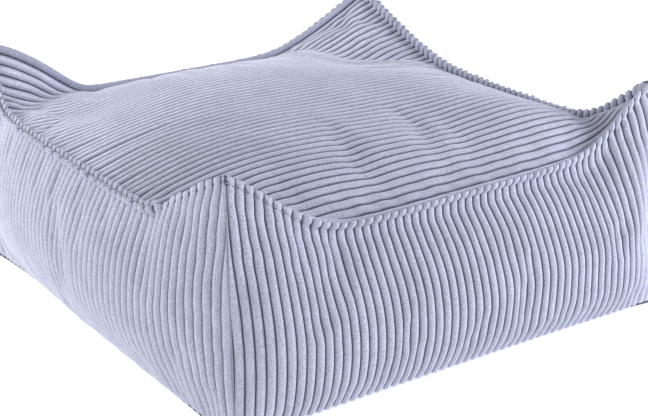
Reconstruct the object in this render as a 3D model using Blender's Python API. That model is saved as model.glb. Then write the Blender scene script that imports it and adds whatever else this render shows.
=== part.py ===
"""Bean bag footstool in wide-wale corduroy, modelled in metres with +Z up.

The stool is one filled body under six panels of cloth: a top, four sides and a bottom.
The top edge seam dips along each side and rises to four empty, raised corners, the top
crowns in the middle, and the sides bulge low down and tuck in under the stool. The front
right corner flares outward, the left side slumps, and the feet of the corners stand out.
The origin is on the floor, in the middle. The front faces -Y, and the top's wales run along X.
"""

import bmesh
import bpy
import numpy as np

# Driving dimensions
SEAM_REACH = 0.285        # middle of the stool to the top edge seam
TIP_REACH = 0.296         # middle to the tip of a raised corner, along X or Y
CORNER_TOP = 0.280        # height of the stitch line at the tip
EDGE_POWER = 4            # power of the top and bottom seams' curve towards their corners
TIP_POWER = 3             # a tip that is drawn aside takes the cloth with it by this power
MIDDLE = (0.0103, 0.0, 0.0)  # the stool is moved by this, so that its whole box is centred
BASE_REACH = 0.305        # middle to the bottom seam
BASE_SEAM_LIFT = 0.004    # the bottom seam lies this far above the floor
BASE_FLAT = 0.95          # share of the bottom panel that lies flat on the floor
FLANGE_HEIGHT = 0.010     # the seam stands this far above its stitch line
FLANGE_LEAN = 0.20        # outward lean of the standing seam, per unit of height
CLOTH = 0.0025            # thickness of the corduroy
GAP = 0.00045             # clearance between solids that lie against each other
SET_BACK = GAP            # each of two panels stops this far short of the seam they share

# How a side swells: the reach of its top seam, how far it bulges past its seams, the share of
# its height at which the bulge has died away, the power of the curve that rounds it off towards
# its corners, and how roundly it tucks in at the floor. The left side slumps outward.
TAUT = {"seam": SEAM_REACH, "bulge": 0.040, "end": 0.93, "round": 6, "tuck": 0.5}
SLUMPED = {"seam": 0.327, "bulge": 0.043, "end": 1.0, "round": 3, "tuck": 1.0}
BULGE_HEIGHT = 0.45       # where the swelling is fullest, as a share of the side's height

CROWN = 0.050             # rise of the top's middle above its seams
CROWN_POWER = {"front": 4, "right": 5, "back": 3.1, "left": 3.1}  # how square it is to each

# Soft humps and troughs of the filling under the top: where, how high and how wide along X and Y
HUMPS = [
    {"at": (-0.140, -0.140), "height": 0.005, "spread": (0.080, 0.080)},
    {"at": (0.215, -0.200), "height": 0.012, "spread": (0.040, 0.070)},
    {"at": (-0.055, -0.205), "height": -0.005, "spread": (0.022, 0.040)},
    {"at": (0.085, -0.160), "height": -0.007, "spread": (0.030, 0.045)},
]

SPAN_STEPS = 16           # facets along a side
HEIGHT_STEPS = 9          # facets up a side
EDGE_CROWDING = 0.25      # facets are closer together near the corners
FOOT_CROWDING = 1.5       # and near the floor
STEEPEST = 0.75           # cosine of the steepest slope on which the seam keeps its width
MERGE = 0.00001           # points closer than this are one
SHARP_ANGLE = 0.9         # in radians: edges that turn by more stay sharp

# How far each corner is drawn aside at its raised tip and at its foot. The corners stand in the
# order in which the sides below start. The front right tip flares.
CORNERS = {
    "front_left": {"tip": (0.0, 0.0, 0.0), "foot": (0.0, -0.013, 0.0)},
    "front_right": {"tip": (0.036, 0.036, -0.018), "foot": (0.013, -0.013, 0.0)},
    "back_right": {"tip": (0.0, 0.0, 0.0), "foot": (0.013, 0.013, 0.0)},
    "back_left": {"tip": (0.0, 0.0, 0.0), "foot": (-0.013, 0.013, 0.0)},
}

# Each side: its direction along the floor, its outward direction, the height of its stitch line
# at the middle, its lean, the form of its swelling, where the seam starts to climb to the raised
# corner at its start and end, as a share of half the side, with how softly it starts and how
# bluntly it ends (1 is not at all), and its corners.
SIDES = {
    "front": {"along": (1, 0), "out": (0, -1), "dip": 0.193, "lean": 0.012, "form": TAUT,
              "start": (0.62, 0.07, 1.0), "end": (0.74, 0.06, 1.0),
              "corners": ("front_left", "front_right")},
    "right": {"along": (0, 1), "out": (1, 0), "dip": 0.208, "lean": 0.0, "form": TAUT,
              "start": (0.70, 0.065, 1.0), "end": (0.30, 0.10, 1.0),
              "corners": ("front_right", "back_right")},
    "back": {"along": (-1, 0), "out": (0, 1), "dip": 0.2045, "lean": 0.0, "form": TAUT,
             "start": (0.46, 0.07, 1.0), "end": (0.61, 0.03, 1.35),
             "corners": ("back_right", "back_left")},
    "left": {"along": (0, -1), "out": (-1, 0), "dip": 0.217, "lean": 0.0, "form": SLUMPED,
             "start": (0.78, 0.06, 1.0), "end": (0.61, 0.02, 1.0),
             "corners": ("back_left", "front_left")},
}

CORDUROY = {"colour": (0.47, 0.49, 0.60, 1.0), "roughness": 0.9, "sheen": 0.4}
FILLING = {"colour": (0.62, 0.62, 0.66, 1.0), "roughness": 0.9, "sheen": 0.0}


# The shape

def unit(vectors):
    return vectors / np.linalg.norm(vectors, axis=-1, keepdims=True)


def climb(way, softness, bluntness):
    """Rise from 0, before its start, to 1 at its end, where way runs from 0 to 1 between them."""
    rise = np.log1p(np.exp(way / softness)) / np.log1p(np.exp(1 / softness))
    return 1 - (1 - rise) ** bluntness


def edge_climb(share, start, softness, bluntness):
    """Rise of the seam from its dip (0) to the corner's tip (1), along half a side."""
    return climb((share - start) / (1 - start), softness / (1 - start), bluntness)


def side_climb(side, u):
    """The same along a whole side, where u runs from -1 to 1."""
    return np.where(u < 0, edge_climb(-u, *side["start"]), edge_climb(u, *side["end"]))


def swelling(height, form):
    """Outline of a bulge, 1 at its fullest, from the bottom seam (0) to the top one (1): below,
    a quarter of an ellipse where tuck is a half and a parabola where it is 1, and a parabola
    above."""
    below = np.clip((BULGE_HEIGHT - height) / BULGE_HEIGHT, 0, 1)
    above = np.clip((height - BULGE_HEIGHT) / (form["end"] - BULGE_HEIGHT), 0, 1)
    return np.where(height < BULGE_HEIGHT, (1 - below ** 2) ** form["tuck"], 1 - above ** 2)


def corner_line(height):
    """Distance of the upright corner seam from the middle, where height runs from 0 to 1."""
    return (1 - height) * BASE_REACH + height * TIP_REACH


def side_point(side, u, height):
    """Point on the outer face of a side: u from -1 to 1 along it, height from 0 to 1 up it."""
    u, height = np.broadcast_arrays(np.asarray(u, float), np.asarray(height, float))
    form = side["form"]
    top_reach = form["seam"] + (TIP_REACH - form["seam"]) * u ** EDGE_POWER
    reach = (1 - height) * BASE_REACH + height * top_reach
    reach = reach - side["lean"] * u * (1 - u ** 2) * height ** 2
    reach = reach + form["bulge"] * swelling(height, form) * (1 - np.abs(u) ** form["round"])
    along = u * corner_line(height)
    seam = side["dip"] + (CORNER_TOP - side["dip"]) * side_climb(side, u)
    z = BASE_SEAM_LIFT + height * (seam - BASE_SEAM_LIFT)
    x = along * side["along"][0] + reach * side["out"][0]
    y = along * side["along"][1] + reach * side["out"][1]
    point = np.stack([x, y, z], axis=-1)
    for end, corner in zip((-1, 1), side["corners"]):
        near = np.clip(end * u, 0, 1)[..., None]
        point = point + (near * height[..., None]) ** TIP_POWER * CORNERS[corner]["tip"]
        point = point + near ** EDGE_POWER * (1 - height[..., None]) * CORNERS[corner]["foot"]
    return point


def top_height(p, q):
    """Height of the top's outer face, where p and q run from -1 to 1 along X and Y."""
    edges = {"front": 1 + q, "right": 1 - p, "back": 1 - q, "left": 1 + p}
    weight = {name: 1 / (distance + MERGE) for name, distance in edges.items()}
    total = sum(weight.values())
    level = sum(weight[name] * SIDES[name]["dip"] for name in edges) / total
    rise = 0
    for along_x in ("front", "back"):
        for along_y in ("left", "right"):
            rise = rise + corner_climb(along_x, along_y, p, q)
    across = np.abs(p) ** np.where(p > 0, CROWN_POWER["right"], CROWN_POWER["left"])
    deep = np.abs(q) ** np.where(q > 0, CROWN_POWER["back"], CROWN_POWER["front"])
    crown = CROWN * (1 - across) * (1 - deep)
    inside = (1 - across) * (1 - deep)
    for hump in HUMPS:
        away_x = (p * SEAM_REACH - hump["at"][0]) / hump["spread"][0]
        away_y = (q * SEAM_REACH - hump["at"][1]) / hump["spread"][1]
        crown = crown + hump["height"] * np.exp(-(away_x ** 2 + away_y ** 2) / 2) * inside
    drawn = CORNERS["front_right"]["tip"][2] * (np.clip(p, 0, 1) * np.clip(-q, 0, 1)) ** TIP_POWER
    return level + (CORNER_TOP - level) * rise + crown + drawn


def way_back(name, neighbour, coordinate):
    """How far back a point lies from the corner of two sides, where 1 is where the first one's
    seam starts to climb, with the softness and the bluntness of that climb."""
    side = SIDES[name]
    axis = 0 if side["along"][0] else 1
    towards = SIDES[neighbour]["out"][axis]
    start, softness, bluntness = side["end" if towards == side["along"][axis] else "start"]
    back = (1 - np.clip(coordinate * towards, 0, 1)) / (1 - start)
    return back, softness / (1 - start), bluntness


def corner_climb(along_x, along_y, p, q):
    """Climb of the top to a raised corner: a flat slope from where both seams start to climb."""
    first, second = way_back(along_x, along_y, p), way_back(along_y, along_x, q)
    share = (first[0] + MERGE) / (first[0] + second[0] + 2 * MERGE)
    softness, bluntness = (share * a + (1 - share) * b for a, b in zip(first[1:], second[1:]))
    return climb(1 - first[0] - second[0], softness, bluntness)


def top_point(p, q):
    """Point on the top's outer face, spanned between the four seams."""
    p, q = np.broadcast_arrays(np.asarray(p, float), np.asarray(q, float))
    front = side_point(SIDES["front"], p, 1.0)
    back = side_point(SIDES["back"], -p, 1.0)
    left = side_point(SIDES["left"], -q, 1.0)
    right = side_point(SIDES["right"], q, 1.0)
    across, deep = (1 + p)[..., None] / 2, (1 + q)[..., None] / 2
    tips = [side_point(side, -1.0, 1.0) for side in SIDES.values()]
    near_tips = (1 - across) * tips[0] + across * tips[1]
    far_tips = (1 - across) * tips[3] + across * tips[2]
    point = (1 - deep) * (front - near_tips) + deep * (back - far_tips)
    point = point + (1 - across) * left + across * right
    point[..., 2] = top_height(p, q)
    edge = np.maximum(np.abs(p), np.abs(q)) == 1
    seam = np.where((np.abs(q) == 1)[..., None], np.where((q < 0)[..., None], front, back),
                    np.where((p < 0)[..., None], left, right))
    return np.where(edge[..., None], seam, point)


def face_normals(points):
    """Outward normals of a grid of points, rows first."""
    rows = np.gradient(points, axis=0)
    columns = np.gradient(points, axis=1)
    return unit(np.cross(columns, rows))


def inset_vector(*normals):
    """Step that goes one unit below each of the faces that meet at a point."""
    if len(normals) == 1:
        return -normals[0]
    if len(normals) == 2:
        first, second = normals
        return -(first + second) / (1 + np.sum(first * second, axis=-1, keepdims=True))
    return np.linalg.solve(np.stack(normals), -np.ones(len(normals)))


# Grids of the whole stool: the outer faces and the steps to the faces under them

def spread(steps):
    """Positions from -1 to 1, closer together near the ends."""
    even = np.linspace(-1, 1, steps + 1)
    return even * (1 + EDGE_CROWDING * (1 - even ** 2))


def build_grids():
    """Outer points and inset steps of every panel, with shared values along the seams."""
    u = spread(SPAN_STEPS)
    height = np.linspace(0, 1, HEIGHT_STEPS + 1) ** FOOT_CROWDING
    names = list(SIDES)
    points = {name: side_point(SIDES[name], u[None, :], height[:, None]) for name in names}
    points["top"] = top_point(u[None, :], u[:, None])
    normals = {name: face_normals(grid) for name, grid in points.items()}
    steps = {name: -grid for name, grid in normals.items()}

    seam = np.concatenate([points[name][0, :-1] for name in names])
    flat = seam * [BASE_FLAT, BASE_FLAT, 0]
    along = np.roll(seam, -1, axis=0) - np.roll(seam, 1, axis=0)
    base_normal = unit(np.cross(flat - seam, along))
    base_step = np.zeros_like(seam)

    top_edge = {"front": (0, slice(None)), "right": (slice(None), -1),
                "back": (-1, slice(None, None, -1)), "left": (slice(None, None, -1), 0)}
    top_corner = {"front": (0, 0), "right": (0, -1), "back": (-1, -1), "left": (-1, 0)}
    for index, name in enumerate(names):
        before = names[index - 1]
        side, previous = normals[name], normals[before]
        base = base_normal[index * SPAN_STEPS:(index + 1) * SPAN_STEPS]
        top = normals["top"][top_edge[name]]
        upper = inset_vector(side[-1], top)
        lower = inset_vector(side[0, :-1], base)
        upright = inset_vector(side[:, 0], previous[:, -1])
        steps[name][-1] = upper
        steps[name][0, :-1] = lower
        steps[name][:, 0] = upright
        steps[before][:, -1] = upright
        steps["top"][top_edge[name]] = upper
        base_step[index * SPAN_STEPS:(index + 1) * SPAN_STEPS] = lower
    for index, name in enumerate(names):
        before = names[index - 1]
        side, previous = normals[name], normals[before]
        tip = inset_vector(side[-1, 0], previous[-1, -1], normals["top"][top_corner[name]])
        foot = inset_vector(side[0, 0], previous[0, -1], base_normal[index * SPAN_STEPS])
        steps[name][-1, 0] = steps[before][-1, -1] = tip
        steps["top"][top_corner[name]] = tip
        steps[name][0, 0] = steps[before][0, -1] = foot
        base_step[index * SPAN_STEPS] = foot
    base = {"seam": seam, "step": base_step, "flat": flat}
    return points, steps, base


def flange_frame(name, seam):
    """Upward and sideways steps of the standing seam, at each point of one side's seam."""
    out = np.array([*SIDES[name]["out"], 0.0])
    along = unit(np.gradient(seam, axis=0))
    up = unit(np.array([0, 0, 1.0]) + FLANGE_LEAN * out)
    sideways = unit(np.cross(along, up))
    slope = np.clip(np.linalg.norm(along[:, :2], axis=1), STEEPEST, 1)[:, None]
    return FLANGE_HEIGHT * up / slope, sideways


def flange_frames(points):
    """The same for all sides, with one shared frame where two sides meet at a corner."""
    names = list(SIDES)
    frames = {name: flange_frame(name, points[name][-1]) for name in names}
    shared = {}
    for index, name in enumerate(names):
        first, last = frames[name][1][0], frames[names[index - 1]][1][-1]
        mitre = -inset_vector(first, last)
        up = FLANGE_HEIGHT * unit(np.array([0, 0, 1.0]) + FLANGE_LEAN * mitre)
        shared[name] = (up, mitre)
    for index, name in enumerate(names):
        after = names[(index + 1) % len(names)]
        up, sideways = frames[name]
        up[0], sideways[0] = shared[name]
        up[-1], sideways[-1] = shared[after]
    return frames


# Meshes

class Solid:
    """Points and faces of one closed mesh, made into an object at the end."""

    def __init__(self):
        self.points = []
        self.faces = []

    def add(self, points):
        """Adds an array of points and returns their numbers in the same arrangement."""
        flat = np.asarray(points, float).reshape(-1, 3)
        first = len(self.points)
        self.points.extend(flat.tolist())
        return np.arange(first, first + len(flat)).reshape(np.shape(points)[:-1])

    def sheet(self, grid):
        """Triangles over a grid of point numbers, all split along the same diagonal."""
        for row, above in zip(grid[:-1], grid[1:]):
            self.band(row, above)

    def band(self, first, second):
        """Triangles between two lines of point numbers."""
        for a, b, c, d in zip(first[:-1], first[1:], second[1:], second[:-1]):
            self.faces.append((int(a), int(b), int(c)))
            self.faces.append((int(a), int(c), int(d)))

    def ring(self, first, second):
        """Triangles between two closed loops of point numbers."""
        self.band(np.append(first, first[0]), np.append(second, second[0]))

    def edge(self, first, second):
        """The same, each face split along its shorter diagonal, so that edges that meet agree."""
        where = np.array(self.points)
        for a, b, c, d in zip(first, np.roll(first, -1), np.roll(second, -1), second):
            if np.linalg.norm(where[a] - where[c]) < np.linalg.norm(where[b] - where[d]):
                halves = (a, b, c), (a, c, d)
            else:
                halves = (a, b, d), (b, c, d)
            self.faces.extend(tuple(int(i) for i in half) for half in halves)

    def cap(self, loop):
        self.faces.append(tuple(int(i) for i in loop))

    def make(self, name, material):
        mesh = bpy.data.meshes.new(name)
        mesh.from_pydata(self.points, [], self.faces)
        work = bmesh.new()
        work.from_mesh(mesh)
        bmesh.ops.remove_doubles(work, verts=work.verts, dist=MERGE)
        bmesh.ops.recalc_face_normals(work, faces=work.faces)
        work.to_mesh(mesh)
        work.free()
        mesh.materials.append(material)
        mesh.shade_smooth()
        mesh.set_sharp_from_angle(angle=SHARP_ANGLE)
        made = bpy.data.objects.new(name, mesh)
        made.location = MIDDLE
        bpy.context.scene.collection.objects.link(made)
        return made


def border(grid):
    """The closed loop of point numbers round a grid."""
    return np.concatenate([grid[0, :-1], grid[:-1, -1], grid[-1, :0:-1], grid[:0:-1, 0]])


def draw_back(layer, axis, start, end):
    """Pulls the named borders of a grid inward, to clear the next panel."""
    moved = layer.copy()
    lines = np.moveaxis(moved, axis, 0)
    source = np.moveaxis(layer, axis, 0)
    if start:
        lines[0] += unit(source[1] - source[0]) * SET_BACK
    if end:
        lines[-1] += unit(source[-2] - source[-1]) * SET_BACK
    return moved


def make_side(name, points, steps, frames, material):
    """A side panel whose top edge stands up as its half of the raised seam."""
    up, sideways = frames[name]
    outer = points[name].copy()
    inner = points[name] + CLOTH * steps[name]
    seam = points[name][-1]
    outer[-1] = seam + CLOTH * sideways
    inner[-1] = inner[-1] + GAP / 2 * sideways
    outer = np.concatenate([outer, [seam + up + CLOTH * sideways]])
    inner = np.concatenate([inner, [seam + up + GAP / 2 * sideways]])
    solid = Solid()
    grids = []
    for layer in (outer, inner):
        layer = draw_back(layer, 1, True, True)
        layer = draw_back(layer, 0, True, False)
        grids.append(solid.add(layer))
        solid.sheet(grids[-1])
    solid.edge(border(grids[0]), border(grids[1]))
    return solid.make("side_" + name, material)


def make_top(points, steps, frames, material):
    """The top panel, whose edge stands up all round as its half of the raised seam."""
    outer = points["top"].copy()
    inner = points["top"] + CLOTH * steps["top"]
    names = list(SIDES)
    seam = np.concatenate([points[name][-1, :-1] for name in names])
    up = np.concatenate([frames[name][0][:-1] for name in names])
    sideways = np.concatenate([frames[name][1][:-1] for name in names])
    solid = Solid()
    loops = []
    for layer, aside in ((outer, CLOTH), (inner, GAP / 2)):
        numbers = solid.add(layer)
        edge = border(numbers)
        start = seam if layer is outer else np.array([solid.points[i] for i in edge])
        for number, point in zip(edge, start - aside * sideways):
            solid.points[number] = point.tolist()
        solid.sheet(numbers)
        rim = solid.add(seam + up - aside * sideways)
        solid.ring(edge, rim)
        loops.append(rim)
    solid.ring(*loops)
    return solid.make("top_panel", material)


def make_bottom(base, material):
    """The bottom panel: flat on the floor, its rim lifted to the bottom seam."""
    solid = Solid()
    rims = []
    for lift in (0, CLOTH):
        rim = base["seam"] + lift * base["step"]
        flat = base["flat"] + [0, 0, lift]
        rim = rim + unit(flat - rim) * SET_BACK
        rims.append(solid.add(rim))
        loop = solid.add(flat)
        solid.ring(rims[-1], loop)
        solid.cap(loop)
    solid.ring(*rims)
    return solid.make("bottom_panel", material)


def make_body(points, steps, base, material):
    """The filled body, one closed solid just inside all the panels."""
    under = CLOTH + GAP
    solid = Solid()
    for name in (*SIDES, "top"):
        solid.sheet(solid.add(points[name] + under * steps[name]))
    rim = solid.add(base["seam"] + under * base["step"])
    loop = solid.add(base["flat"] + [0, 0, under])
    solid.ring(rim, loop)
    solid.cap(loop)
    return solid.make("filled_body", material)


def make_material(name, finish):
    material = bpy.data.materials.new(name)
    material.use_nodes = True
    shader = material.node_tree.nodes["Principled BSDF"]
    shader.inputs["Base Color"].default_value = finish["colour"]
    shader.inputs["Roughness"].default_value = finish["roughness"]
    shader.inputs["Metallic"].default_value = 0.0
    shader.inputs["Sheen Weight"].default_value = finish["sheen"]
    return material


def main():
    for item in list(bpy.data.objects):
        bpy.data.objects.remove(item, do_unlink=True)
    points, steps, base = build_grids()
    frames = flange_frames(points)
    corduroy = make_material("corduroy", CORDUROY)
    filling = make_material("filling", FILLING)
    make_body(points, steps, base, filling)
    make_top(points, steps, frames, corduroy)
    for name in SIDES:
        make_side(name, points, steps, frames, corduroy)
    make_bottom(base, corduroy)


main()
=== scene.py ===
import math
from functools import partial

import bmesh
import bpy
import numpy as np
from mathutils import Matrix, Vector


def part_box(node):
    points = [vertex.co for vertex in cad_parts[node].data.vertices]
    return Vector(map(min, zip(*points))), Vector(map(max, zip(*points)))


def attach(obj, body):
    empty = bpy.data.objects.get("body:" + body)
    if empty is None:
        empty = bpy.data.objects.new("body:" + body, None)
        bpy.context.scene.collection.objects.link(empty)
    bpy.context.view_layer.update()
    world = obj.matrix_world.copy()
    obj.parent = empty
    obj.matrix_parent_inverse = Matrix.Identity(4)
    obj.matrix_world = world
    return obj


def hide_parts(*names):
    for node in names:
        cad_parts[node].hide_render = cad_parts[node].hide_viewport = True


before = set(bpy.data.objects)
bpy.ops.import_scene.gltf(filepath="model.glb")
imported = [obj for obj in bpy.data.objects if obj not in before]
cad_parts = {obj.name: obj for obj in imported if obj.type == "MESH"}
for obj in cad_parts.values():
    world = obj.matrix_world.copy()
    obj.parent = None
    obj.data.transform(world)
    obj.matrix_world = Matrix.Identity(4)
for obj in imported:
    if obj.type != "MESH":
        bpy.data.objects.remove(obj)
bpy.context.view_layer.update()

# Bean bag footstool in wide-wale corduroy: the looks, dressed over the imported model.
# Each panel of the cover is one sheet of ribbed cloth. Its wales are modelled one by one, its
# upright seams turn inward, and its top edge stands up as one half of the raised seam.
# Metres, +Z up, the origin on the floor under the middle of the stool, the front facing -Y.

# Sizes of the stool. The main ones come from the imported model.
base_low, base_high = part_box("bottom_panel")
MIDDLE = np.array((base_low + base_high) / 2) * [1, 1, 0]  # of the foot, from the origin
FLANGE_HEIGHT = 0.0096                          # the raised seam above its stitch line
FOOT = 0.013                                    # the foot's corners stand out by this
REACH = (base_high.x - base_low.x) / 2 - FOOT   # middle of the foot to the bottom seam
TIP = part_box("top_panel")[1].z - FLANGE_HEIGHT  # stitch line at a raised corner
SEAM_REACH = REACH - 0.020                      # middle to the top edge seam
TIP_REACH = REACH - 0.009                       # middle to a raised corner's tip
DRAWN_IN = 0.0080                               # a straight side would lean in by this at its bulge
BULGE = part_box("side_back")[1].y - REACH + DRAWN_IN
BULGE_HEIGHT = 0.45                             # where a side bulges most, as a share of its height

# How a side is filled: middle to its top seam, its bulge, the height at which the bulge ends, how
# bluntly it ends at the upright seams, and how bluntly it tucks in at the foot
TAUT = {"seam": SEAM_REACH, "bulge": BULGE, "end": 0.93, "round": 6, "tuck": 0.5}
SLUMPED = {"seam": REACH + 0.022, "bulge": BULGE + 0.003, "end": 1.0, "round": 3, "tuck": 1.0}
EDGE_POWER = 4              # a side's seams bow between its corners to this power
TIP_POWER = 3               # and a corner's shift fades away from its tip to this one
BASE_SEAM_LIFT = 0.0012     # the bottom seam above the floor
CROWN = 0.050               # height of the top's dome
CROWN_POWER = {"front": 4, "right": 5, "back": 3.1, "left": 3.1}  # how squarely it ends there
FLANGE_LEAN = 0.30          # the raised seam leans outward by this slope
# How far the raised seam stands squarely on its own line, not upright, towards the corners
FLANGE_SQUARED = {"front": 0.15, "right": 0.8, "back": 0.8, "left": 0.8}
MITRE_ZONE = 0.016          # the seams of two sides turn into each other this near a corner

# Soft humps and troughs of the filling under the top
HUMPS = [
    {"at": (-0.140, -0.140), "height": 0.005, "spread": (0.080, 0.080)},
    {"at": (0.215, -0.200), "height": 0.012, "spread": (0.040, 0.070)},
    {"at": (-0.055, -0.205), "height": -0.005, "spread": (0.022, 0.040)},
    {"at": (0.085, -0.160), "height": -0.007, "spread": (0.030, 0.045)},
    {"at": (0.280, -0.215), "height": 0.020, "spread": (0.035, 0.040)},
    {"at": (0.200, 0.145), "height": -0.030, "spread": (0.070, 0.060)},
    {"at": (-0.220, 0.160), "height": -0.030, "spread": (0.055, 0.070)},
]

# How far each corner is moved at its raised tip and at its foot
CORNERS = {
    "front_left": {"tip": (0.0, 0.0, 0.0), "foot": (0.0, -FOOT, 0.0)},
    "front_right": {"tip": (0.036, 0.036, -0.018), "foot": (FOOT, -FOOT, 0.0)},
    "back_right": {"tip": (0.0, 0.0, 0.0), "foot": (FOOT, FOOT, 0.0)},
    "back_left": {"tip": (0.0, 0.0, 0.0), "foot": (-FOOT, FOOT, 0.0)},
}

# Each side: how its seam dips, leans and swells, and where, how softly and how bluntly it climbs
# to the raised corners at its start and end
SIDES = {
    "front": {"along": (1, 0), "out": (0, -1), "drop": 0.087, "lean": 0.012, "form": TAUT,
              "start": (0.62, 0.07, 1.2), "end": (0.74, 0.06, 1.0),
              "corners": ("front_left", "front_right")},
    "right": {"along": (0, 1), "out": (1, 0), "drop": 0.072, "lean": 0.0, "form": TAUT,
              "start": (0.70, 0.065, 1.0), "end": (0.30, 0.10, 1.0),
              "corners": ("front_right", "back_right")},
    "back": {"along": (-1, 0), "out": (0, 1), "drop": 0.0755, "lean": 0.0, "form": TAUT,
             "start": (0.46, 0.07, 1.0), "end": (0.61, 0.03, 1.35),
             "corners": ("back_right", "back_left")},
    "left": {"along": (0, -1), "out": (-1, 0), "drop": 0.063, "lean": 0.0, "form": SLUMPED,
             "start": (0.78, 0.06, 1.0), "end": (0.64, 0.02, 1.15),
             "corners": ("back_left", "front_left")},
}
NAMES = list(SIDES)

# The cloth
PITCH = 0.01132             # groove to groove
WALE_HEIGHT = 0.0040        # groove to crest
WALE_STEPS = (0.0, 0.05, 0.11, 0.19, 0.30, 0.43, 0.57, 0.70, 0.81, 0.89, 0.95)
BODY_POWER = 0.70           # a wale's section is a sine to this power: broad on the panels,
NECK_POWER = 1.1            # a little pinched at the stitch line,
KNOB_POWER = 0.55           # and full again at its end above it
CREST_ABOVE = 0.0010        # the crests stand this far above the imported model's faces
GROOVE = CREST_ABOVE - WALE_HEIGHT  # and the bottoms of the grooves
SEAM_ALLOWANCE = 0.008      # cloth turned inward at a plain seam
SEAM_FILL = 0.0018          # a plain seam is so much shallower than the grooves
SEAM_WIDTH = 0.003          # and this wide to either side
SEAM_TAPER = (-0.0004, 0.0014)  # the wales rise from it between these distances
SEAM_SHADE_TONE = 0.55            # and are painted with shade there: this share of the pile's tone
FOOT_TAPER = 0.003          # the wales rise from the bottom seam within this height,
FOOT_SHADE_HEIGHT = 0.004           # are painted with the seam's shade below this one
FOOT_TURN = 0.010           # and the cloth turns under below this one

# The raised seam, in which the wales end
NECK = -0.0012              # from the stitch line to the bottom of a groove there
NECK_HEIGHT = 0.0032        # and on to the crest
NECK_LENGTH = 0.008         # the wales narrow to it over this length
STITCH_TURN = 0.012         # and a side's cloth turns to face as the seam does over this one
KNOB = 0.0046               # how far a wale's end puffs out above the stitch line
NOTCH = 0.0010              # and the notch between two
PUFF_POWER = 0.6            # how fully they puff out
KNOB_RISE = 0.0128          # height of a wale's end above the stitch line
NOTCH_RISE = 0.0088         # and of the notch between two
KNOB_TILT = 0.0012          # the ends lean along the seam by this,
TILTED = 1.5                # all of it from 1 / TILTED of the section on
END_TAPER = (-0.001, 0.003)  # and shrink between these distances from an upright seam
TOP_END_TAPER = 0.004       # and the top's within this distance of its front and back
TOP_TAPER = 0.003           # where its wales rise over this distance
TOP_TURN = 0.010            # and its cloth turns to face as the seam does over this one
FREE_TURN = 0.25            # the wales widen again over this share of the section
OUTER_SHARE = 0.82          # share of the section that shows from outside
NECK_SHARE = 0.3            # of which the neck takes this one
RISEN = 0.66                # it is highest at this share,
SINKING = 0.62              # sinks between the two halves from this one
SUNK = 0.55                 # by this share of its height
HALF_GAP = 0.00015          # and keeps this far from the other half
BEADS = {"left": 0.85}      # power of a wale end's section, where it isn't KNOB_POWER
BEAD_KNOB = {"left": 1.35}  # how much fuller it is there
BEAD_SHADE_POWER = {"left": 1.25}  # and the power of its tone, which paints shade between the ends
UNEVEN = {"front": 0.13, "right": 0.13, "back": 0.13, "left": 0.28}  # how unlike the ends are
MOST_WALES = 400            # each side draws this many sizes of them
BACK_KNOBS = 0.68           # the back's wale ends are this much lower
BACK_STRIP = 0.0104         # height of the top's edge where it hides them
FRONT_STRIP = 0.0112        # and where it lies behind the front's
STRIP_FULL = 0.6            # how far that edge puffs out, between a notch and a wale's end
STRIP_TONE = 0.9            # and its share of the pile at the back
# By the near corner the wales run on to the rim without knobs: from here to there along a side
PLAIN_ENDS = {"left": (0.62, 0.70), "front": (-0.62, -0.78)}
PLAIN_SIDE = {"left": 1, "front": -1}  # and the end of the side at which that corner is
PLAIN_RISE = 0.0088         # height of a plain wale end above the stitch line
# Where the raised seam goes on as the side below it does, and the height from which it does
STRAIGHT = {"left": [(0.62, 0.70)], "front": [(-0.62, -0.78), (0.35, 0.75)]}
BELOW_SEAM = 0.94

# How the pile lies. The pile's height carries its tone, painted shade and light, to the material.
PAINTED_PALE_TONE = 1.25          # painted light: the front's right end is painted paler, with this tone
FLATTENED_HEIGHT = 0.45        # and the share of the wales' height there
PALE_FLAT_ALONG = (0.84, 0.98)  # it is so from here to there along the front
PALE_FLAT_UP = (0.90, 0.55)    # and from here down to there
LIGHTER_GROOVE_SHADE = {"left": 0.22}  # the painted shade in a side's grooves is so much lighter
TOP_GROOVE_SHADE_POWERS = (1.30, 1.70)  # the painted shade in the top's grooves is darker where the painted sheen lies
PAINTED_SHEEN_PALE = 0.70                 # painted sheen: the pile is painted so much paler there
PAINTED_SHEEN_SPAN = (-0.15, 0.65)     # the painted sheen lies on the top from here to there and on to the back
PAINTED_SHEEN_ASKEW = -0.55       # and this much farther forward at the left

# The material of the corduroy
# painted shade at the bottom of the grooves, and the cloth's own colour on the crests
GROOVE_SHADE_COLOUR = (0.068, 0.074, 0.128)
CREST_COLOUR = (0.490, 0.512, 0.645)
FULL_TONE = 0.72            # the painted groove shade is gone from this height of the pile on
SPECK_SCALE, SPECKS = 950, ((0.34, 0.58), (0.55, 1.10))  # noise, and the tone it stands for
PATCH_SCALE, PATCHES = 22, ((0.3, 0.7), (0.93, 1.06))
PAINTED_PALE_RANGE = ((1.0, 1.7), (1.0, 1.55))  # a pile higher than 1 stands for a tone painted paler, as painted light

# How the wales wander: by how much, over what length, and how that is stretched along and across
SIDE_WANDER, SIDE_WANDER_LENGTH, SIDE_WANDER_STRETCH = 0.0010, 0.11, (0.5, 0.25)
SIDE_WANDER_ENDS = (1.0, 0.90)  # none at the top seam, all of it below this height
TOP_WANDER, TOP_WANDER_LENGTH = 0.004, 0.16
TOP_SEED = 11
SIDE_SEEDS = {"front": 20, "right": 30, "back": 40, "left": 50}

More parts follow.
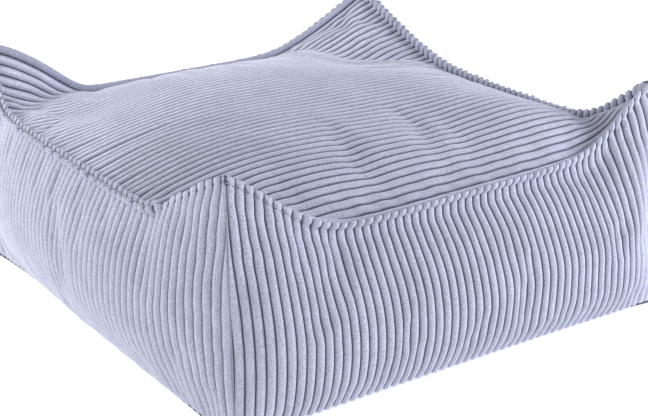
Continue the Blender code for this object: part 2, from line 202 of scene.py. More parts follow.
# The filling: a coarse closed form under the cover, swelled by a cloth simulation
CAGE = 40                   # steps along each side
CAGE_RISE = 18              # and from the foot to the top
FILL_INSET = 0.0050         # its skin lies this far under the cover's grooves
FRAMES = 20
QUALITY = 6
SKIN_MASS = 0.3
SKIN_STIFFNESS = 0.5
PRESSURE = 4.0
SLACK = 0.012               # its skin is cut this much too large
EVENING = 14                # rounds of averaging that leave only its even swelling
MOST_MOVE = 0.0035          # no crease is deeper than this
CREASE_SHARE = {"front": 0.7, "right": 0.8, "back": 0.8, "left": 0.6, "top": 0.8, "bottom": 0.0}

# Steps of the meshes
GIRTH_STEPS = 1201          # places at which the girth of a side is measured
SIDE_HALF = 0.36            # a side's wales are laid out this far to either way
SIDE_ROWS = 76
SIDE_SPREAD = 0.06          # which lie a little closer at half height
FLANGE_ROWS = 17            # rows of each half of the raised seam
TOP_HALF = 0.3              # the top's wales are laid out this far to either way
TOP_COLUMNS = 132
TOP_SPREAD = 0.10           # which lie a little closer at the edges
BOTTOM_COLUMNS = 61
BOTTOM_TAPER = 0.005        # the bottom's wales rise within this distance of its seam,
BOTTOM_TURN = 0.016         # which lifts off the floor over this one
BOTTOM_GROOVE = 0.0016      # and their grooves are this deep, pressed on the floor
INSIDE = 0.9995             # wale steps nearer the edge than this are left out
MERGE = 2e-6                # points nearer than this are one
EPSILON = 0.0008            # a surface's directions are taken over this step of its coordinates
TINY = 0.00001              # keeps a division from reaching 0


# Small tools

def unit(vectors):
    return vectors / np.maximum(np.linalg.norm(vectors, axis=-1, keepdims=True), 1e-12)


def smooth(low, high, value):
    """0 below low, 1 above high, and a soft step between them."""
    share = np.clip((value - low) / (high - low), 0, 1)
    return share * share * (3 - 2 * share)


def waves(seed, x, y, length, count=7):
    """Gentle seeded unevenness, about 1 high, whose waves are about so long."""
    chance = np.random.default_rng(seed)
    total = 0
    for _ in range(count):
        turn = chance.uniform(0, 2 * math.pi)
        size = length * chance.uniform(0.7, 1.6)
        phase = chance.uniform(0, 2 * math.pi)
        way = x * math.cos(turn) + y * math.sin(turn)
        total = total + np.sin(2 * math.pi * way / size + phase)
    return total / math.sqrt(count)


def lerp(first, second, share):
    return first + (second - first) * share


# The shape of the stool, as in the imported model

def climb(way, softness, bluntness):
    """From 0 before the way begins to 1 at its end, turning upward softly."""
    rise = np.log1p(np.exp(way / softness)) / np.log1p(np.exp(1 / softness))
    return 1 - (1 - rise) ** bluntness


def edge_climb(share, start, softness, bluntness):
    """The same along half a side, whose climb begins at start."""
    return climb((share - start) / (1 - start), softness / (1 - start), bluntness)


def side_climb(side, u):
    """How far a side's top seam has climbed to its raised corners, at u from -1 to 1 along it."""
    return np.where(u < 0, edge_climb(-u, *side["start"]), edge_climb(u, *side["end"]))


def swelling(height, form):
    """Share of a side's bulge at one height of it."""
    below = np.clip((BULGE_HEIGHT - height) / BULGE_HEIGHT, 0, 1)
    above = np.clip((height - BULGE_HEIGHT) / (form["end"] - BULGE_HEIGHT), 0, 1)
    return np.where(height < BULGE_HEIGHT, (1 - below ** 2) ** form["tuck"], 1 - above ** 2)


def side_point(name, u, height):
    """Point of a side's surface, at u from -1 to 1 along it and height from 0 to 1."""
    side = SIDES[name]
    u, height = np.broadcast_arrays(np.asarray(u, float), np.asarray(height, float))
    form = side["form"]
    top_reach = lerp(form["seam"], TIP_REACH, u ** EDGE_POWER)
    reach = lerp(REACH, top_reach, height)
    reach = reach - side["lean"] * u * (1 - u ** 2) * height ** 2
    reach = reach + form["bulge"] * swelling(height, form) * (1 - np.abs(u) ** form["round"])
    along = u * lerp(REACH, TIP_REACH, height)
    seam = TIP - side["drop"] * (1 - side_climb(side, u))
    z = BASE_SEAM_LIFT + height * (seam - BASE_SEAM_LIFT)
    x = along * side["along"][0] + reach * side["out"][0]
    y = along * side["along"][1] + reach * side["out"][1]
    point = np.stack([x, y, z], axis=-1)
    for end, corner in zip((-1, 1), side["corners"]):
        near = np.clip(end * u, 0, 1)[..., None]
        point = point + (near * height[..., None]) ** TIP_POWER * CORNERS[corner]["tip"]
        point = point + near ** EDGE_POWER * (1 - height[..., None]) * CORNERS[corner]["foot"]
    return point


def girth(name, height):
    """Places u along a side and their distances over its curve from its middle, at one height."""
    u = np.linspace(-1, 1, GIRTH_STEPS)
    steps = np.diff(side_point(name, u, height)[:, :2], axis=0)
    distance = np.concatenate([[0], np.cumsum(np.linalg.norm(steps, axis=1))])
    return u, distance - distance[GIRTH_STEPS // 2]


def way_back(name, neighbour, coordinate):
    """How far back a place lies from one side's corner with another, against the length of the
    climb to that corner, and the climb's softness and bluntness."""
    side = SIDES[name]
    axis = 0 if side["along"][0] else 1
    towards = SIDES[neighbour]["out"][axis]
    start, softness, bluntness = side["end" if towards == side["along"][axis] else "start"]
    back = (1 - np.clip(coordinate * towards, 0, 1)) / (1 - start)
    return back, softness / (1 - start), bluntness


def corner_climb(along_x, along_y, p, q):
    """How far the top has climbed to the corner of two sides."""
    first, second = way_back(along_x, along_y, p), way_back(along_y, along_x, q)
    share = (first[0] + TINY) / (first[0] + second[0] + 2 * TINY)
    softness, bluntness = (lerp(b, a, share) for a, b in zip(first[1:], second[1:]))
    return climb(1 - first[0] - second[0], softness, bluntness)


def top_height(p, q):
    """Height of the top: its seams' levels blended, the climbs to its corners, its dome and the
    humps, at p across and q deep, both from -1 to 1."""
    edges = {"front": 1 + q, "right": 1 - p, "back": 1 - q, "left": 1 + p}
    weight = {name: 1 / (distance + TINY) for name, distance in edges.items()}
    total = sum(weight.values())
    level = sum(weight[name] * (TIP - SIDES[name]["drop"]) for name in edges) / total
    rise = 0
    for along_x in ("front", "back"):
        for along_y in ("left", "right"):
            rise = rise + corner_climb(along_x, along_y, p, q)
    across = np.abs(p) ** np.where(p > 0, CROWN_POWER["right"], CROWN_POWER["left"])
    deep = np.abs(q) ** np.where(q > 0, CROWN_POWER["back"], CROWN_POWER["front"])
    inside = (1 - across) * (1 - deep)
    crown = CROWN * inside
    for hump in HUMPS:
        away_x = (p * SEAM_REACH - hump["at"][0]) / hump["spread"][0]
        away_y = (q * SEAM_REACH - hump["at"][1]) / hump["spread"][1]
        crown = crown + hump["height"] * np.exp(-(away_x ** 2 + away_y ** 2) / 2) * inside
    drawn = CORNERS["front_right"]["tip"][2] * (np.clip(p, 0, 1) * np.clip(-q, 0, 1)) ** TIP_POWER
    return level + (TIP - level) * rise + crown + drawn


def top_point(p, q):
    p, q = np.broadcast_arrays(p, q)
    point = spanned(p, q, 1.0)
    point[..., 2] = top_height(p, q)
    return point


def spanned(p, q, height):
    """Point spanned between the four sides at one height of theirs."""
    front, back = side_point("front", p, height), side_point("back", -p, height)
    left, right = side_point("left", -q, height), side_point("right", q, height)
    across, deep = (1 + p)[..., None] / 2, (1 + q)[..., None] / 2
    tips = [side_point(name, -1.0, height) for name in NAMES]
    near, far = lerp(tips[0], tips[1], across), lerp(tips[3], tips[2], across)
    return lerp(front - near, back - far, deep) + lerp(left, right, across)


def normal_of(surface, a, b, low):
    """Outward normals of a surface at its own coordinates, which end at low and at 1."""
    a_lo, a_hi = np.clip(a - EPSILON, -1, 1), np.clip(a + EPSILON, -1, 1)
    b_lo, b_hi = np.clip(b - EPSILON, low, 1), np.clip(b + EPSILON, low, 1)
    across = surface(a_hi, b) - surface(a_lo, b)
    up = surface(a, b_hi) - surface(a, b_lo)
    return unit(np.cross(across, up))


# The filling

def cage():
    """Points and quads of the filling's skin, and which point lies where on each panel's grid."""
    along, rise = np.linspace(-1, 1, CAGE + 1), np.linspace(0, 1, CAGE_RISE + 1)
    grids, points = {}, []
    for number, name in enumerate(NAMES):
        side = side_point(name, along[None, :-1], rise[:, None])
        points.append(side.transpose(1, 0, 2).reshape(-1, 3))
        columns = (np.arange(CAGE + 1) + number * CAGE) % (len(NAMES) * CAGE)
        grids[name] = columns[None, :] * len(rise) + np.arange(len(rise))[:, None]
    p, q = np.meshgrid(along[1:-1], along[1:-1])
    for name, row, inner in (("top", -1, top_point(p, q)), ("bottom", 0, spanned(p, q, 0.0))):
        inner[..., 2] = np.maximum(inner[..., 2], BASE_SEAM_LIFT)
        grid = np.empty((CAGE + 1, CAGE + 1), int)
        grid[1:-1, 1:-1] = sum(map(len, points)) + np.arange(p.size).reshape(p.shape)
        grid[0], grid[:, -1] = grids["front"][row], grids["right"][row]
        grid[-1, ::-1], grid[::-1, 0] = grids["back"][row], grids["left"][row]
        grids[name] = grid
        points.append(inner.reshape(-1, 3))
    quads = []
    for name, grid in grids.items():
        corners = [grid[:-1, :-1], grid[:-1, 1:], grid[1:, 1:], grid[1:, :-1]]
        corners = corners[::-1] if name == "bottom" else corners
        quads.append(np.stack(corners, axis=-1).reshape(-1, 4))
    return np.concatenate(points), np.concatenate(quads), grids


def swell(cushion, held):
    """How far a cloth simulation moves each point of the filling's skin."""
    count = len(cushion.data.vertices)
    before, after = np.empty(count * 3), np.empty(count * 3)
    cushion.data.vertices.foreach_get("co", before)
    cushion.vertex_groups.new(name="held").add(held.tolist(), 1.0, "REPLACE")
    cloth = cushion.modifiers.new("swell", "CLOTH")
    settings = cloth.settings
    settings.quality = QUALITY
    settings.mass = SKIN_MASS
    settings.bending_stiffness = SKIN_STIFFNESS
    settings.use_pressure = True
    settings.uniform_pressure_force = PRESSURE
    settings.shrink_min = -SLACK
    settings.vertex_group_mass = "held"
    settings.effector_weights.gravity = 0
    for step in range(1, FRAMES + 1):
        bpy.context.scene.frame_set(step)
    shown = cushion.evaluated_get(bpy.context.evaluated_depsgraph_get())
    shown.data.vertices.foreach_get("co", after)
    cushion.modifiers.remove(cloth)
    bpy.context.scene.frame_set(1)
    return (after - before).reshape(-1, 3)


def creases(move, grids):
    """What a movement adds to its own even swelling, with a cap on how far a point may go."""
    rest = np.zeros_like(move)
    for grid in grids.values():
        even = move[grid]
        for _ in range(EVENING):
            around = even[:-2, 1:-1] + even[2:, 1:-1] + even[1:-1, :-2] + even[1:-1, 2:]
            even[1:-1, 1:-1] = around / 4
        rest[grid] = move[grid] - even
    size = np.linalg.norm(rest, axis=-1, keepdims=True)
    return rest * np.minimum(1, MOST_MOVE / np.maximum(size, TINY))


def make_filling():
    """The filling's skin as a piece, and how each panel of the cover creases with it."""
    points, quads, grids = cage()
    mesh = bpy.data.meshes.new("cushion")
    mesh.from_pydata(points.tolist(), [], quads.tolist())
    cushion = bpy.data.objects.new("cushion", mesh)
    bpy.context.scene.collection.objects.link(cushion)
    seams = [grids["bottom"]] + [grids[name][[0, -1]] for name in NAMES]
    seams = seams + [grids[name][:, 0] for name in NAMES]
    held = np.unique(np.concatenate([seam.ravel() for seam in seams]))
    move = creases(swell(cushion, held), grids)
    normals = np.empty(points.size)
    mesh.vertices.foreach_get("normal", normals)
    points = points + move - FILL_INSET * normals.reshape(-1, 3) + MIDDLE
    mesh.vertices.foreach_set("co", points.ravel())
    mesh.shade_smooth()
    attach(cushion, "root")
    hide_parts("filled_body")
    return cushion, {name: CREASE_SHARE[name] * move[grid] for name, grid in grids.items()}


def cubic(share):
    """Weights of four even places, one before, two around and one after this share of the step."""
    square, cube = share ** 2, share ** 3
    return [(2 * square - share - cube) / 2, (2 - 5 * square + 3 * cube) / 2,
            (share + 4 * square - 3 * cube) / 2, (cube - square) / 2]


def between(grid, row, column):
    """Value of a grid at fractional rows and columns of it."""
    row, column = np.broadcast_arrays(row, column)
    row_at = np.clip(np.floor(row).astype(int), 0, grid.shape[0] - 2)
    column_at = np.clip(np.floor(column).astype(int), 0, grid.shape[1] - 2)
    total = 0
    for down, by_row in enumerate(cubic(row - row_at)):
        for over, by_column in enumerate(cubic(column - column_at)):
            rows = np.clip(row_at + down - 1, 0, grid.shape[0] - 1)
            columns = np.clip(column_at + over - 1, 0, grid.shape[1] - 1)
            total = total + (by_row * by_column)[..., None] * grid[rows, columns]
    return total


# The raised seam

def neighbours_of(name):
    """Which end of a side (-1 or 1) meets which other side."""
    index = NAMES.index(name)
    return (-1, NAMES[index - 1]), (1, NAMES[(index + 1) % len(NAMES)])


def straight_share(name, u):
    return sum((smooth(*ends, u) for ends in STRAIGHT.get(name, ())), 0.0 * np.asarray(u))


def plain_share(name, u):
    return smooth(*PLAIN_ENDS[name], u) if name in PLAIN_ENDS else 0.0 * u


def own_frame(name, u):
    """Along, up and outward direction of one side's stitch line, taken by itself."""
    u = np.asarray(u, float)
    along = side_point(name, np.clip(u + EPSILON, -1, 1), 1.0)
    along = unit(along - side_point(name, np.clip(u - EPSILON, -1, 1), 1.0))
    out = np.array([*SIDES[name]["out"], 0.0])
    up = unit(np.array([0, 0, 1.0]) + FLANGE_LEAN * out) + 0 * along
    steepness = np.sum(up * along, axis=-1, keepdims=True)
    squared = FLANGE_SQUARED[name] * side_climb(SIDES[name], u)[..., None]
    squared = np.where(u[..., None] * PLAIN_SIDE.get(name, 0) > 0, 0, squared)
    up = unit(up - squared * steepness * along)
    rising = unit(side_point(name, u, 1.0) - side_point(name, u, BELOW_SEAM))
    up = unit(lerp(up, rising, straight_share(name, u)[..., None]))
    return along, up, unit(np.cross(along, up))


def mitre(first, second):
    """One step outward from both of two faces that meet."""
    return (first + second) / (1 + np.sum(first * second, axis=-1, keepdims=True))


def seam_frame(name, u):
    """Point, along, up and outward direction of one side's stitch line, mitred at its corners."""
    point = side_point(name, u, 1.0)
    along, up, sideways = own_frame(name, u)
    for end, neighbour in neighbours_of(name):
        own, other = own_frame(name, end), own_frame(neighbour, -end)
        corner = mitre(own[2], other[2])
        corner_up = unit(np.array([0, 0, 1.0]) + FLANGE_LEAN * corner)
        if max(straight_share(name, end), straight_share(neighbour, -end)) > 0.5:
            corner_up = unit(own[1] + other[1])
        near = smooth(MITRE_ZONE, 0.0, (1 - end * u) * SEAM_REACH)[..., None]
        up = unit(lerp(up, corner_up, near))
        sideways = lerp(sideways, corner, near)
    return point, along, up, sideways


def seam_section(name, turn, phase, ends, size, plain, strip=None, inner=False):
    """Outward and upward offset of one half of the raised seam, from the stitch line (turn 0) over
    its crest and down into the seam (1), and the pile's tone, which paints shade between the wale
    ends. The top's half is the inner one, and strip is its height where no wales end in it."""
    power = lerp(NECK_POWER, BEADS.get(name, KNOB_POWER), smooth(0, FREE_TURN, turn))
    power = lerp(power, BODY_POWER, plain)
    full = ridge(phase, power) * ends
    round_end = ridge(phase, BODY_POWER) * ends
    rise = lerp(NOTCH_RISE, KNOB_RISE * (1 + size) / 2, round_end) if strip is None else strip
    rise = lerp(rise, PLAIN_RISE * size ** 0.5, plain)
    outer = np.clip(turn / OUTER_SHARE, 0, 1)
    out = lerp(NECK, HALF_GAP, smooth(0, NECK_SHARE, outer)) + NECK_HEIGHT * full * (1 - outer) ** 2
    puff = lerp(NOTCH, KNOB * size * BEAD_KNOB.get(name, 1), full)
    out = out + puff * np.sin(math.pi * outer) ** PUFF_POWER
    if not inner:
        out = lerp(out, (GROOVE + WALE_HEIGHT * full) * (1 - outer ** 4), plain)
    risen = np.sin(math.pi / 2 * np.clip(turn / RISEN, 0, 1))
    return out, rise * (risen - SUNK * smooth(SINKING, 1, turn)), full ** BEAD_SHADE_POWER.get(name, 1)


# Ribbed cloth

def wale_columns(low, high, shift=0.0):
    """Where the points of the wales lie across the cloth, with each one's place in its wale and
    the number of its wale."""
    first, last = math.floor(low / PITCH) - 1, math.ceil(high / PITCH) + 1
    number, phase = np.meshgrid(np.arange(first, last + 1), WALE_STEPS, indexing="ij")
    number, phase = number.ravel(), phase.ravel()
    return (number + phase + shift) * PITCH, phase, number


def ridge(phase, power):
    """Rounded crest (1) between grooves (0)."""
    return np.sin(math.pi * phase) ** power


def knob_sizes(name, seed, number):
    """Size of each wale's end in one side's raised seam, about 1."""
    spread = UNEVEN[name]
    sizes = np.random.default_rng(seed).uniform(1 - spread, 1 + spread, MOST_WALES)
    return sizes[number + MOST_WALES // 2] * (BACK_KNOBS if name == "back" else 1)


def build(name, points, painted_shading, keep=None):
    """One sheet from a grid of points, with the pile's painted shade and light at each of them."""
    rows, columns = points.shape[:2]
    numbers = np.arange(rows * columns).reshape(rows, columns)
    corners = [numbers[:-1, :-1], numbers[:-1, 1:], numbers[1:, 1:], numbers[1:, :-1]]
    quads = np.stack(corners, axis=-1)
    if keep is not None:
        quads = quads[keep]
    quads = quads.reshape(-1, 4)
    mesh = bpy.data.meshes.new(name)
    mesh.from_pydata((points.reshape(-1, 3) + MIDDLE).tolist(), [], quads.tolist())
    height = mesh.attributes.new("painted_shading", "FLOAT", "POINT")
    height.data.foreach_set("value", painted_shading.ravel().astype(np.float32))
    work = bmesh.new()
    work.from_mesh(mesh)
    bmesh.ops.remove_doubles(work, verts=work.verts, dist=MERGE)
    loose = [vertex for vertex in work.verts if not vertex.link_faces]
    bmesh.ops.delete(work, geom=loose, context="VERTS")
    work.to_mesh(mesh)
    work.free()
    mesh.shade_smooth()
    piece = bpy.data.objects.new(name, mesh)
    bpy.context.scene.collection.objects.link(piece)
    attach(piece, "root")
    return piece


def side_cloth(name, seed, crease):
    """Cover of one side: upright wales from the bottom seam into the raised one."""
    place, phase, number = wale_columns(-SIDE_HALF, SIDE_HALF)
    even = np.linspace(0, 1, SIDE_ROWS)[:, None] * np.ones(len(place))
    height = even + SIDE_SPREAD * np.sin(2 * math.pi * even) / math.pi
    stretch_along, stretch_up = SIDE_WANDER_STRETCH
    drift = waves(seed, place * stretch_along, height * stretch_up, SIDE_WANDER_LENGTH)
    along = place + SIDE_WANDER * drift * smooth(*SIDE_WANDER_ENDS, height)
    u, start, stop = np.empty_like(along), np.empty_like(along), np.empty_like(along)
    for row in range(len(height)):
        places, distances = girth(name, height[row, 0])
        start[row], stop[row] = distances[0], distances[-1]
        along[row] = np.clip(along[row], distances[0], distances[-1])
        u[row] = np.interp(along[row], distances, places)

    def surface(a, b):
        return side_point(name, a, b) + between(crease, b * CAGE_RISE, (1 + a) * CAGE / 2)

    point = surface(u, height)
    normal = normal_of(surface, u, height, 0)
    to_seam = np.minimum(along - start, stop - along)
    first = height[:, :1]
    seam_normals = []
    for end, neighbour in neighbours_of(name):
        own = normal_of(surface, end + 0 * first, first, 0)
        other = normal_of(partial(side_point, neighbour), -end + 0 * first, first, 0)
        seam_normals.append(unit(own + other))
        near = smooth(SEAM_WIDTH, 0, end * ((stop if end > 0 else start) - along))[..., None]
        normal = unit(lerp(normal, seam_normals[-1], near))
    floorward = unit(np.array([*SIDES[name]["out"], -1.0]))
    foot = point[..., 2] - BASE_SEAM_LIFT
    normal = unit(lerp(normal, floorward, smooth(FOOT_TURN, 0, foot)[..., None]))
    stitch, along_seam, up, sideways = seam_frame(name, u[-1])
    below = point[-1, :, 2] - point[..., 2]
    normal = unit(lerp(normal, sideways, smooth(STITCH_TURN, 0, below)[..., None]))

    # the wales of the panel
    plain = plain_share(name, u[-1])
    free = lerp(smooth(0.0, NECK_LENGTH, below), 1, plain)
    taper = smooth(*SEAM_TAPER, to_seam) * smooth(0, FOOT_TAPER, foot)
    # the front's right end is painted paler, as painted light, and its wales are flatter
    pale_flat = smooth(*PALE_FLAT_ALONG, u) * smooth(*PALE_FLAT_UP, height) * (name == "front")
    profile = ridge(phase, lerp(NECK_POWER, BODY_POWER, free)) * taper
    profile = profile * lerp(1, FLATTENED_HEIGHT, pale_flat)
    level = lerp(NECK, GROOVE, free) + SEAM_FILL * smooth(SEAM_WIDTH, 0, to_seam) * free
    point = point + (lerp(NECK_HEIGHT, WALE_HEIGHT, free) * profile + level)[..., None] * normal
    # painted shade in the grooves, lighter on some sides, and painted light at the front's right
    # end
    tone = lerp(lerp(profile, 1, LIGHTER_GROOVE_SHADE.get(name, 0)), PAINTED_PALE_TONE, pale_flat)
    # painted shade along the upright seams and at the foot
    shown = smooth(0, SEAM_WIDTH / 2, to_seam) * smooth(0, FOOT_SHADE_HEIGHT, foot)
    tone = lerp(SEAM_SHADE_TONE, tone, shown)

    # their ends in the raised seam
    turn = np.linspace(0, 1, FLANGE_ROWS)[1:, None]
    ends = smooth(*END_TAPER, to_seam[-1])
    sizes = knob_sizes(name, seed + 2, number)
    aside, rise, full = seam_section(name, turn, phase, ends, sizes, plain)
    tilt = KNOB_TILT * np.sin(math.pi / 2 * np.clip(TILTED * turn, 0, 1)) * ends * (1 - plain)
    flange = stitch + aside[..., None] * sideways + rise[..., None] * up
    points = np.concatenate([point, flange + tilt[..., None] * along_seam])
    painted_shading = np.concatenate([tone, full])

    # the turned-in allowances at the upright seams and at the bottom one
    inner = []
    for column, seam_normal in zip((0, -1), seam_normals):
        last = np.repeat(seam_normal[-1:, 0], FLANGE_ROWS - 1, axis=0)
        inward = np.concatenate([seam_normal[:, 0], last])
        inner.append((points[:, column] - SEAM_ALLOWANCE * inward)[:, None])
    points = np.concatenate([inner[0], points, inner[1]], axis=1)
    painted_shading = np.pad(painted_shading, ((0, 0), (1, 1)), mode="edge")
    points = np.concatenate([points[:1] - SEAM_ALLOWANCE * floorward, points])
    painted_shading = np.concatenate([painted_shading[:1], painted_shading])
    return build("cover_side_" + name, points, painted_shading)


def flat_wales():
    """The wales of the top or the bottom from its front (-1) to its back (1): where the points of
    them lie, with each one's place in its wale and the number of its wale."""
    place, phase, number = wale_columns(-TOP_HALF, TOP_HALF, 0.5)
    q = place / TOP_HALF
    inside = np.abs(q) < INSIDE
    q, phase, number = q[inside], phase[inside], number[inside]
    number = np.concatenate([number[:1], number, number[-1:]])
    return np.concatenate([[-1], q, [1]]), np.concatenate([[0], phase, [0]]), number


def top_cloth(seed, crease):
    """The top's surface: its points and normals, and each one's place across (p) and deep (q)."""
    q, phase, number = flat_wales()
    even = np.linspace(-1, 1, TOP_COLUMNS)
    p, q = np.meshgrid(even * (1 + TOP_SPREAD * (1 - even ** 2)), q)
    drift = waves(seed, p * TOP_HALF, q * TOP_HALF, TOP_WANDER_LENGTH)
    q = q + TOP_WANDER * drift * np.sqrt((1 - q ** 2) * (1 - p ** 2))

    def surface(a, b):
        return top_point(a, b) + between(crease, (1 + b) * CAGE / 2, (1 + a) * CAGE / 2)

    return surface(p, q), normal_of(surface, p, q, -1), phase, p, q, number


def make_top(seed, crease):
    """Cover of the top: wales along X, and on all four sides the inner half of the raised seam."""
    point, normal, phase, p, q, number = top_cloth(seed, crease)
    places = {"front": p[0], "right": q[:, -1], "back": -p[-1], "left": -q[:, 0]}
    distances = {"front": 1 + q, "right": 1 - p, "back": 1 - q, "left": 1 + p}
    distances = {name: distance * SEAM_REACH for name, distance in distances.items()}
    places = {name: np.clip(place, -1, 1) for name, place in places.items()}
    frames = {name: seam_frame(name, places[name]) for name in NAMES}
    across = np.minimum(distances["front"], distances["back"])
    to_ends = np.minimum(distances["left"], distances["right"])
    for name in NAMES:
        axis = 0 if name in ("front", "back") else 1
        sideways = np.expand_dims(frames[name][3], axis)
        near = smooth(TOP_TURN, 0, distances[name])[..., None]
        normal = unit(lerp(normal, -sideways, near))
    free_end = smooth(0.0, NECK_LENGTH, to_ends)
    profile = ridge(phase[:, None], lerp(NECK_POWER, BODY_POWER, free_end))
    profile = profile * smooth(0, TOP_TAPER, across)
    level = lerp(NECK, GROOVE, smooth(0, NECK_LENGTH, np.minimum(across, to_ends)))
    middle = lerp(NECK_HEIGHT, WALE_HEIGHT, free_end) * profile + level
    # painted sheen: the far part of the top is painted paler
    painted_sheen = smooth(*PAINTED_SHEEN_SPAN, q + PAINTED_SHEEN_ASKEW * p)

    # the four strips of the raised seam lie round the middle, and the grid's corners stay empty
    extra = FLANGE_ROWS - 1
    whole = slice(extra, -extra)
    points = np.full([size + 2 * extra for size in p.shape] + [3], np.nan)
    painted_shading = np.ones(points.shape[:2])
    points[whole, whole] = point + middle[..., None] * normal
    # painted shade in the grooves, and painted sheen where it lies
    painted_shading[whole, whole] = profile ** lerp(*TOP_GROOVE_SHADE_POWERS, painted_sheen) * lerp(1, 1 + PAINTED_SHEEN_PALE, painted_sheen)
    turn = np.linspace(0, 1, FLANGE_ROWS)[1:, None]
    for name in NAMES:
        stitch, _, up, sideways = frames[name]
        plain = plain_share(name, places[name])
        if name in ("front", "back"):
            strip = {"front": FRONT_STRIP, "back": BACK_STRIP}[name]
            ends = STRIP_FULL * np.ones(p.shape[1])
            aside, rise, tone = seam_section(name, turn, 0.5, ends, 1.0, plain, strip, True)
            tone = {"front": 1, "back": STRIP_TONE}[name] * np.ones_like(aside)
        else:
            ends, sizes = smooth(0, TOP_END_TAPER, across[:, 0]), knob_sizes(name, seed + 5, number)
            aside, rise, tone = seam_section(name, turn, phase, ends, sizes, plain, None, True)
        strip = stitch - aside[..., None] * sideways + rise[..., None] * up
        if name in ("front", "left"):
            strip, tone = strip[::-1], tone[::-1]
        beside = slice(None, extra) if name in ("front", "left") else slice(-extra, None)
        if name in ("front", "back"):
            points[beside, whole], painted_shading[beside, whole] = strip, tone
        else:
            points[whole, beside], painted_shading[whole, beside] = strip.transpose(1, 0, 2), tone.T
    made = ~np.isnan(points[..., 0])
    keep = made[:-1, :-1] & made[:-1, 1:] & made[1:, 1:] & made[1:, :-1]
    return build("cover_top", np.nan_to_num(points), painted_shading, keep)


def make_bottom():
    """Cover of the underside: its wales are pressed flat, and its seam lifts off the floor."""
    q, phase, _ = flat_wales()
    p, q = np.meshgrid(np.linspace(-1, 1, BOTTOM_COLUMNS), q)
    point = spanned(p, q, 0.0)
    to_edge = np.minimum(1 - np.abs(p), 1 - np.abs(q)) * REACH
    taper = smooth(0, BOTTOM_TAPER, to_edge)
    profile = ridge(phase[:, None], BODY_POWER) * taper
    lift = BASE_SEAM_LIFT * smooth(BOTTOM_TURN, 0, to_edge)
    point[..., 2] = lift + BOTTOM_GROOVE * (1 - profile) * taper
    return build("cover_bottom", point[:, ::-1], profile[:, ::-1])


# Materials

def plain_material(name, colour, roughness=0.9):
    """A new material with its node tree and its shader."""
    material = bpy.data.materials.new(name)
    material.use_nodes = True
    shader = material.node_tree.nodes["Principled BSDF"]
    shader.inputs["Base Color"].default_value = (*colour, 1)
    shader.inputs["Roughness"].default_value = roughness
    return material, material.node_tree, shader


def corduroy():
    """Velvety pile: speckled, cloudy, painted shade in the grooves, painted light where paler."""
    material, tree, shader = plain_material("corduroy_cloth", CREST_COLOUR, 0.95)

    def node(kind, inputs, **values):
        """A new node: a number or colour fills an input, and another node's output feeds it."""
        made = tree.nodes.new(kind)
        for key, value in values.items():
            setattr(made, key, value)
        for socket, value in inputs.items():
            if isinstance(value, bpy.types.NodeSocket):
                tree.links.new(value, made.inputs[socket])
            else:
                made.inputs[socket].default_value = value
        return made.outputs

    place = node("ShaderNodeTexCoord", {})["Object"]
    painted_shading = node("ShaderNodeAttribute", {}, attribute_name="painted_shading")["Fac"]

    def ranged(value, span, result, **values):
        inputs = {"Value": value, "From Min": span[0], "From Max": span[1]}
        inputs.update({"To Min": result[0], "To Max": result[1]})
        return node("ShaderNodeMapRange", inputs, **values)["Result"]

    def noise(scale, detail):
        inputs = {"Vector": place, "Scale": scale, "Detail": detail}
        return node("ShaderNodeTexNoise", inputs)["Fac"]

    def times(first, second):
        return node("ShaderNodeMath", {0: first, 1: second}, operation="MULTIPLY")["Value"]

    specks, patches = noise(SPECK_SCALE, 2), noise(PATCH_SCALE, 3)
    # painted shade: the grooves' colour, turning to the crests' one
    groove_unshaded = ranged(painted_shading, (0.0, FULL_TONE), (0.0, 1.0), interpolation_type="SMOOTHSTEP")
    ends = {"Factor": groove_unshaded, "A": (*GROOVE_SHADE_COLOUR, 1), "B": (*CREST_COLOUR, 1)}
    tone = node("ShaderNodeMix", ends, data_type="RGBA")["Result"]
    share = times(ranged(specks, *SPECKS), ranged(patches, *PATCHES))
    # painted light: a pile above 1 paints the cloth paler
    share = times(share, ranged(painted_shading, *PAINTED_PALE_RANGE))
    colour = node("ShaderNodeVectorMath", {0: tone, "Scale": share}, operation="SCALE")["Vector"]
    fuzz = {"Strength": 0.5, "Distance": 0.0006, "Height": specks}
    tree.links.new(colour, shader.inputs["Base Color"])
    tree.links.new(node("ShaderNodeBump", fuzz)["Normal"], shader.inputs["Normal"])

    shader.inputs["Specular IOR Level"].default_value = 0.15
    shader.inputs["Sheen Weight"].default_value = 0.85
    shader.inputs["Sheen Roughness"].default_value = 0.38
    shader.inputs["Sheen Tint"].default_value = (0.90, 0.92, 1.0, 1)
    return material


# Floor, lights and camera

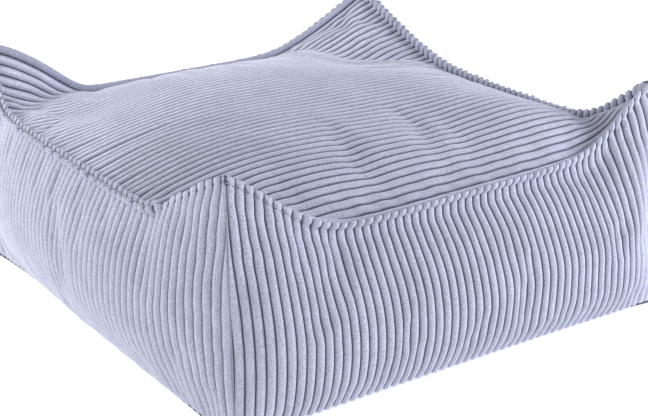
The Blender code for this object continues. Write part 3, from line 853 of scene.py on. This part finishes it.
def make_floor():
    material, _, shader = plain_material("floor_white", (0.86, 0.86, 0.87))
    shader.inputs["Emission Color"].default_value = (1, 1, 1, 1)
    shader.inputs["Emission Strength"].default_value = 0.52
    size, drop = 9.0, 0.0005
    corners = [(-size, -size, 0), (size, -size, 0), (size, size, 0), (-size, size, 0)]
    mesh = bpy.data.meshes.new("floor")
    mesh.from_pydata(corners, [], [(0, 1, 2, 3)])
    mesh.materials.append(material)
    floor = bpy.data.objects.new("floor", mesh)
    bpy.context.scene.collection.objects.link(floor)
    floor.location.z = -drop


def make_light(name, place, size, power, colour):
    """A round soft light, aimed at the stool."""
    data = bpy.data.lights.new(name, "AREA")
    data.shape = "DISK"
    data.size = size
    data.energy = power
    data.color = colour
    light = bpy.data.objects.new(name, data)
    light.location = place
    light.visible_camera = False
    aim = Vector((0, 0, 0.15)) - Vector(place)
    light.rotation_euler = aim.to_track_quat("-Z", "Y").to_euler()
    bpy.context.scene.collection.objects.link(light)


def make_lights():
    world = bpy.data.worlds.new("studio")
    world.use_nodes = True
    background = world.node_tree.nodes["Background"]
    background.inputs["Color"].default_value = (0.985, 0.985, 1.0, 1)
    background.inputs["Strength"].default_value = 0.38
    bpy.context.scene.world = world
    make_light("key", (1.4, -1.28, 0.72), 1.1, 34, (0.94, 0.965, 1.0))
    make_light("fill", (-2.5, -0.6, 1.3), 1.6, 17, (1.0, 0.985, 0.95))
    make_light("rim", (-1.0, 0.85, 0.95), 1.2, 17.5, (1.0, 0.985, 0.95))


def make_camera():
    """The photo's angle: from the front left, a little above."""
    turn, lift = math.radians(-34.3), math.radians(21.5)
    data = bpy.data.cameras.new("camera")
    data.lens = 79.28
    data.sensor_width = 36
    data.clip_end = 50
    camera = bpy.data.objects.new("camera", data)
    camera.location = Vector((-0.954, -1.433, 0.772)) + Vector(MIDDLE)
    camera.rotation_euler = (math.pi / 2 - lift, 0, turn)
    bpy.context.scene.collection.objects.link(camera)
    bpy.context.scene.camera = camera


# The stool, dressed, and the studio round it

cushion, crease = make_filling()
cushion.data.materials.append(plain_material("plain_lining", (0.80, 0.80, 0.78))[0])
cloth = corduroy()
covers = [(make_top(TOP_SEED, crease["top"]), "top_panel"), (make_bottom(), "bottom_panel")]
for name in NAMES:
    covers.append((side_cloth(name, SIDE_SEEDS[name], crease[name]), "side_" + name))
for cover, node in covers:
    cover.data.materials.append(cloth)
    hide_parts(node)

make_floor()
make_lights()
make_camera()
bpy.context.scene.view_settings.view_transform = "Standard"
